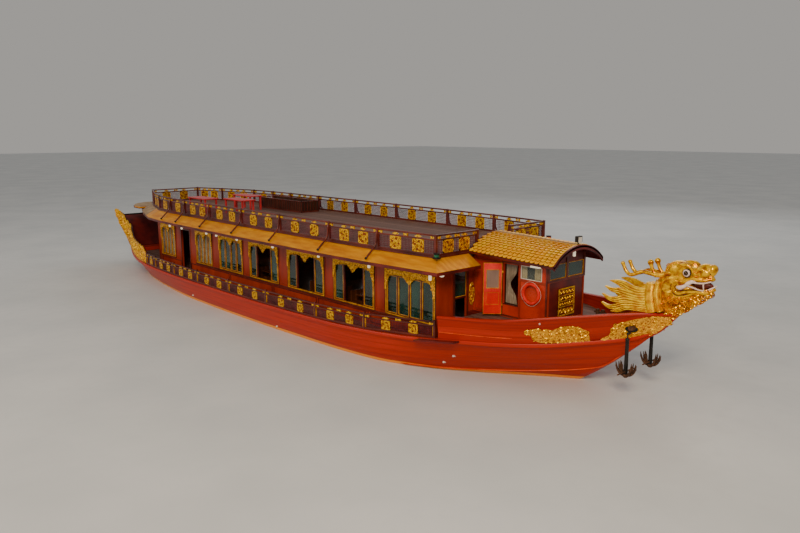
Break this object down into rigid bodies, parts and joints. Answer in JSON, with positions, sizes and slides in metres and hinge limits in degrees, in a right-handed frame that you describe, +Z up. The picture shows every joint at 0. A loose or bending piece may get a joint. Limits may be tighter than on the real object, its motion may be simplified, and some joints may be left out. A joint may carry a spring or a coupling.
{
  "type": "dragon boat",
  "caption": "River passenger boat with a gilt dragon head on the stem, raised stern wings, a long glazed saloon under an open fenced deck, and a small barrel-roofed wheelhouse.",
  "frame": {"origin": "on the waterline, amidships on the centreline", "axes": "+X to the bow, +Y to port, +Z up"},
  "size_m": [34.9471, 7.99, 5.4929],
  "materials": {
    "hull_paint": "varnished red-brown gloss",
    "house_maroon": "satin maroon paint",
    "house_red": "gloss red paint",
    "gilt": "gold paint",
    "glazing_gilt": "gold painted frames with glass panes",
    "roof_tile": "glazed yellow",
    "deck_board": "weathered boards",
    "dark_board": "dark varnish",
    "table_red": "gloss",
    "buoy_red": "matte",
    "bronze": "cast, dull",
    "iron": "rusty",
    "grey_steel": "satin"
  },
  "bodies": {
    "vessel": {"hull": "hull_paint", "stern_block": "hull_paint", "bow_block": "hull_paint", "saloon_wall_front": "house_maroon", "saloon_wall_aft": "house_maroon", "saloon_floor": "dark_board", "upper_deck": "deck_board", "stair_coaming": "dark_board", "stair": "dark_board", "eave_roof": "roof_tile", "upper_fence_aft": "house_maroon", "upper_table_a": "table_red", "upper_table_b": "table_red", "upper_table_c": "table_red", "transom_board": "house_maroon", "wheelhouse_roof": "roof_tile", "wheelhouse_front": "house_red", "helm_console": "dark_board", "lifebuoy": "buoy_red", "floodlight": "grey_steel", "dragon_head": "gilt", "toe_rail_starboard": "hull_paint", "toe_rail_port": "hull_paint", "bulwark_starboard": "hull_paint", "bulwark_port": "hull_paint", "engine_starboard": "grey_steel", "engine_port": "grey_steel", "stern_wing_starboard": "gilt", "stern_wing_port": "gilt", "saloon_wall_starboard": "house_maroon", "saloon_wall_port": "house_maroon", "windows_starboard": "glazing_gilt", "windows_port": "glazing_gilt", "aft_window_starboard": "glazing_gilt", "aft_window_port": "glazing_gilt", "upper_fence_starboard": "house_maroon", "upper_fence_port": "house_maroon", "front_fence_starboard": "house_maroon", "front_fence_port": "house_maroon", "walkway_fence_starboard": "house_maroon", "walkway_fence_port": "house_maroon", "boarding_ledge_starboard": "house_maroon", "boarding_ledge_port": "house_maroon", "wheelhouse_side_starboard": "house_red", "wheelhouse_side_port": "house_red", "bollard_starboard": "iron", "bollard_port": "iron", "dragon_horn_starboard": "gilt", "dragon_horn_port": "gilt", "dragon_mane_starboard": "gilt", "dragon_mane_port": "gilt", "anchor_starboard": "iron", "anchor_port": "iron"},
    "propeller_starboard": {"propeller_starboard": "bronze"},
    "propeller_port": {"propeller_port": "bronze"},
    "rudder_starboard": {"rudder_starboard": "hull_paint"},
    "rudder_port": {"rudder_port": "hull_paint"},
    "wheelhouse_door_starboard": {"wheelhouse_door_starboard": "house_red"},
    "wheelhouse_door_port": {"wheelhouse_door_port": "house_red"}
  },
  "joints": [
    {"name": "propeller_spin_starboard", "type": "hinge", "parent": "vessel", "child": "propeller_starboard", "pos_m": [-12, -1.1, -0.64], "axis": [1, 0, 0], "continuous": true},
    {"name": "rudder_turn_starboard", "type": "hinge", "parent": "vessel", "child": "rudder_starboard", "pos_m": [-12.8, -1.1, -0.58], "axis": [0, 0, 1], "range_deg": [-35, 35]},
    {"name": "door_swing_starboard", "type": "hinge", "parent": "vessel", "child": "wheelhouse_door_starboard", "pos_m": [11.11, -1.011, 2.69], "axis": [0, 0, 1], "range_deg": [-40, 133]},
    {"name": "propeller_spin_port", "type": "hinge", "parent": "vessel", "child": "propeller_port", "pos_m": [-12, 1.1, -0.64], "axis": [1, 0, 0], "continuous": true},
    {"name": "rudder_turn_port", "type": "hinge", "parent": "vessel", "child": "rudder_port", "pos_m": [-12.8, 1.1, -0.58], "axis": [0, 0, 1], "range_deg": [-35, 35]},
    {"name": "door_swing_port", "type": "hinge", "parent": "vessel", "child": "wheelhouse_door_port", "pos_m": [11.11, 1.011, 2.69], "axis": [0, 0, 1], "range_deg": [-133, 40]}
  ],
  "couplings": [
    {"joint": "rudder_turn_port", "follows": "rudder_turn_starboard", "ratio": 1}
  ]
}
